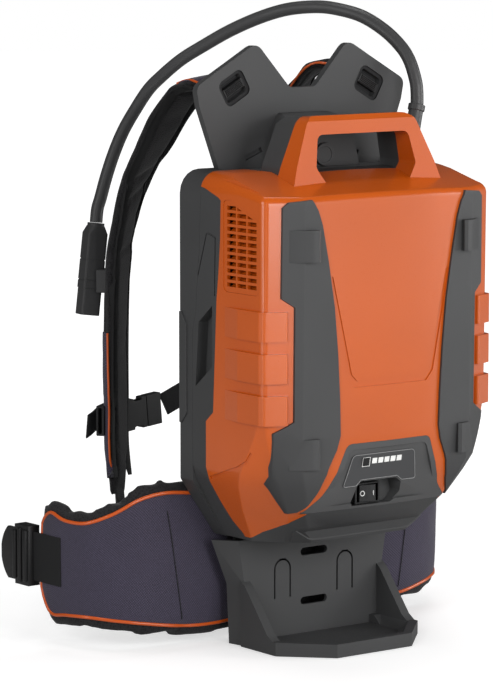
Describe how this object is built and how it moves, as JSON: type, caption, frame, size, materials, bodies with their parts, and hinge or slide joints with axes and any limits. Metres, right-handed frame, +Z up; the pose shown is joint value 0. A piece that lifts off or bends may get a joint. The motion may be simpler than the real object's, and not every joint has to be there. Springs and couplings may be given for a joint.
{
  "type": "backpack battery pack",
  "caption": "Backpack battery pack: ribbed two-colour housing with top handle and foot bracket on a height-adjustable harness with shoulder straps, chest strap, hip belt and power cable",
  "frame": {"origin": "On the floor under the foot, in the middle of the width and in the front plane of the foot bracket's wall.", "axes": "+Z is up, +X is to the right seen from the front, and the front faces -Y; the wearer stands at +Y."},
  "size_m": [0.4907, 0.3957, 0.6447],
  "materials": {
    "orange_plastic": "glossy moulded plastic",
    "grey_plastic": "fine grained moulded plastic",
    "black_plastic": "satin moulded plastic",
    "label_film": "smooth film",
    "white_lens": "clear lens over white",
    "cell_wrap": "shrink film",
    "nickel": "plain strip",
    "circuit_board": "solder mask",
    "fuse_body": "ceramic look",
    "screw_steel": "zinc plated",
    "cable_rubber": "smooth rubber sheath",
    "strap_fabric": "mesh over foam",
    "hip_fabric": "woven fabric over foam",
    "webbing": "woven webbing"
  },
  "bodies": {
    "pack": {"front_cover": "orange_plastic", "left_vent_grille": "orange_plastic", "right_vent_grille": "orange_plastic", "rear_housing": "grey_plastic", "left_corner_guard": "grey_plastic", "right_corner_guard": "grey_plastic", "bottom_cover": "grey_plastic", "control_panel": "grey_plastic", "panel_label": "label_film", "gauge_lights": "white_lens", "switch_frame": "black_plastic", "cells": "cell_wrap", "front_cell_holder": "black_plastic", "rear_cell_holder": "black_plastic", "bus_strips": "nickel", "management_board": "circuit_board", "main_fuse": "fuse_body", "back_frame": "grey_plastic", "left_frame_insert": "grey_plastic", "right_frame_insert": "grey_plastic", "frame_screws": "screw_steel", "foot_bracket": "grey_plastic", "bracket_screws": "screw_steel", "cable_boot": "cable_rubber", "power_cable": "cable_rubber", "left_lower_webbing": "webbing", "right_lower_webbing": "webbing", "back_pads": "strap_fabric", "lumbar_pad": "strap_fabric", "left_hip_pad": "hip_fabric", "right_hip_pad": "hip_fabric", "hip_webbing": "webbing", "hip_buckle_socket": "black_plastic", "hip_buckle_plug": "black_plastic"},
    "rocker": {"power_rocker": "black_plastic"},
    "gauge_key": {"gauge_button": "black_plastic"},
    "yoke": {"yoke_plate": "grey_plastic", "yoke_bars": "black_plastic", "left_shoulder_strap": "strap_fabric", "right_shoulder_strap": "strap_fabric", "left_adjuster": "black_plastic", "right_adjuster": "black_plastic", "connector_body": "black_plastic", "connector_nose": "black_plastic", "connector_holder": "black_plastic"},
    "height_key": {"height_button": "grey_plastic"},
    "chest_strap": {"left_chest_slider": "black_plastic", "right_chest_slider": "black_plastic", "left_chest_webbing": "webbing", "right_chest_webbing": "webbing", "chest_buckle_socket": "black_plastic"},
    "chest_plug": {"chest_buckle_plug": "black_plastic"},
    "latch": {"connector_latch": "black_plastic"}
  },
  "joints": [
    {"name": "power_switch", "type": "hinge", "parent": "pack", "child": "rocker", "pos_m": [-0.01, -0.092, 0.163], "axis": [0, 0, 1], "range_deg": [0, 18]},
    {"name": "gauge_press", "type": "slide", "parent": "pack", "child": "gauge_key", "axis": [0, 0.9796, 0.2009], "range_m": [0, 0.0008], "stiffness_N_per_m": 400, "springref_m": -0.001},
    {"name": "yoke_height", "type": "slide", "parent": "pack", "child": "yoke", "axis": [0, 0, 1], "range_m": [0, 0.04], "deforming": ["power_cable", "left_lower_webbing", "right_lower_webbing"]},
    {"name": "height_lock", "type": "slide", "parent": "yoke", "child": "height_key", "axis": [0, 1, 0], "range_m": [0, 0.003], "stiffness_N_per_m": 600, "springref_m": -0.001},
    {"name": "chest_height", "type": "slide", "parent": "yoke", "child": "chest_strap", "axis": [0, 0, 1], "range_m": [-0.02, 0.02]},
    {"name": "chest_buckle_pull", "type": "slide", "parent": "chest_strap", "child": "chest_plug", "axis": [0.9897, 0.11, 0.0916], "range_m": [0, 0.025], "deforming": ["right_chest_webbing"]},
    {"name": "latch_press", "type": "hinge", "parent": "yoke", "child": "latch", "pos_m": [-0.10022, 0.26148, 0.35068], "axis": [0.9492, -0.2924, -0.1165], "range_deg": [0, 5], "stiffness_Nm_per_rad": 0.06, "springref_deg": -1.15}
  ]
}
